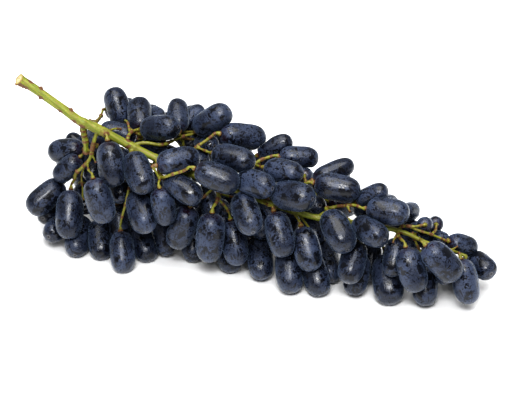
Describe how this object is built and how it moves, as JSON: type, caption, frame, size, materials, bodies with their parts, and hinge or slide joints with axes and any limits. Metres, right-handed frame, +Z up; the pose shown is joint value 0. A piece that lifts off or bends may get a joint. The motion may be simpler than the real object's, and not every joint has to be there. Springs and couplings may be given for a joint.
{
  "type": "bunch of grapes",
  "caption": "Bunch of long oval dark blue-black seedless grapes with a waxy bloom on a green cut stalk, lying on its side.",
  "frame": {"origin": "on the ground, under the middle of the box of the whole bunch", "axes": "+X along the bunch from its cut stalk to its tip, +Z up, the side seen in the picture faces -Y and up"},
  "size_m": [0.2906, 0.1077, 0.1166],
  "materials": {
    "grape_skin": "blue-black skin under a thin grey-blue waxy bloom, rubbed off in patches",
    "stalk_green": "fresh lime green stem with reddish-brown streaks, forks and caps"
  },
  "bodies": {
    "root": {"grapes_01": "grape_skin", "grapes_02": "grape_skin", "grapes_03": "grape_skin", "grapes_04": "grape_skin", "grapes_05": "grape_skin", "grapes_06": "grape_skin", "grapes_07": "grape_skin", "grapes_08": "grape_skin", "grapes_09": "grape_skin", "grapes_10": "grape_skin", "grapes_11": "grape_skin", "grapes_12": "grape_skin", "grapes_13": "grape_skin", "grapes_14": "grape_skin", "grapes_15": "grape_skin", "grapes_16": "grape_skin", "grapes_17": "grape_skin", "grapes_18": "grape_skin", "grapes_19": "grape_skin", "grapes_20": "grape_skin", "grapes_21": "grape_skin", "grapes_22": "grape_skin", "grapes_23": "grape_skin", "stalk": "stalk_green"}
  },
  "joints": []
}
